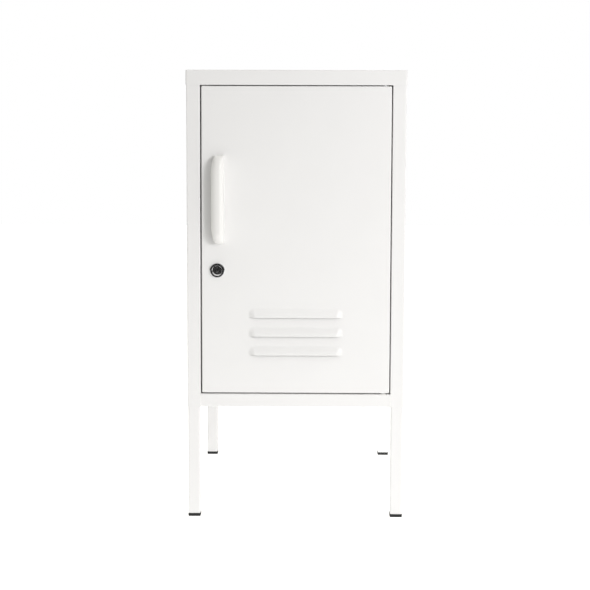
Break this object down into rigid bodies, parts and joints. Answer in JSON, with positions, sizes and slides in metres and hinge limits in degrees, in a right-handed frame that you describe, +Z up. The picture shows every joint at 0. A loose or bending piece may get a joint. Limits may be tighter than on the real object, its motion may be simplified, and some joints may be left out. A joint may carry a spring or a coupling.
{
  "type": "locker cabinet",
  "caption": "Small steel locker cabinet on slim square legs, with one louvered hinged door, a shell pull, a cam lock and a loose shelf inside.",
  "frame": {"origin": "on the floor, under the middle of the top panel's width and depth", "axes": "+Z up, +X to the right as seen from the front, -Y out of the door's front"},
  "size_m": [0.35, 0.4831, 0.72],
  "materials": {
    "white_paint": "satin powder coat",
    "handle_plastic": "smooth semi-gloss",
    "black_plastic": "matt",
    "lock_chrome": "polished",
    "zinc_hardware": "zinc plated",
    "white_nylon": "natural",
    "bumper_rubber": "soft"
  },
  "bodies": {
    "cabinet": {"back_panel": "white_paint", "back_panel_screws": "white_paint", "bottom_panel": "white_paint", "bottom_panel_nuts": "zinc_hardware", "bottom_panel_screws": "zinc_hardware", "cable_grommet": "black_plastic", "door_bumpers": "bumper_rubber", "front_left_foot": "black_plastic", "front_left_leg": "white_paint", "front_left_leg_plate": "white_paint", "front_right_foot": "black_plastic", "front_right_leg": "white_paint", "front_right_leg_plate": "white_paint", "left_side_panel": "white_paint", "leg_bolts": "zinc_hardware", "leg_nuts": "zinc_hardware", "lower_hinge_bush": "white_nylon", "rear_left_foot": "black_plastic", "rear_left_leg": "white_paint", "rear_left_leg_plate": "white_paint", "rear_right_foot": "black_plastic", "rear_right_leg": "white_paint", "rear_right_leg_plate": "white_paint", "right_side_panel": "white_paint", "shelf": "white_paint", "shelf_clips": "zinc_hardware", "top_panel": "white_paint", "top_panel_nuts": "zinc_hardware", "top_panel_screws": "zinc_hardware", "upper_hinge_bush": "white_nylon"},
    "door": {"door_panel": "white_paint", "upper_hinge_bracket": "white_paint", "lower_hinge_bracket": "white_paint", "upper_hinge_pin": "zinc_hardware", "lower_hinge_pin": "zinc_hardware", "handle": "handle_plastic", "handle_screws": "zinc_hardware", "lock_housing": "lock_chrome", "lock_nut": "zinc_hardware"},
    "lock": {"lock_plug": "lock_chrome", "lock_cam": "zinc_hardware", "cam_screw": "zinc_hardware"}
  },
  "joints": [
    {"name": "door_hinge", "type": "hinge", "parent": "cabinet", "child": "door", "pos_m": [0.1409, -0.223, 0.45], "axis": [0, 0, 1], "range_deg": [0, 110]},
    {"name": "lock_turn", "type": "hinge", "parent": "door", "child": "lock", "pos_m": [-0.1255, -0.215, 0.4022], "axis": [0, 1, 0], "range_deg": [0, 90]}
  ]
}
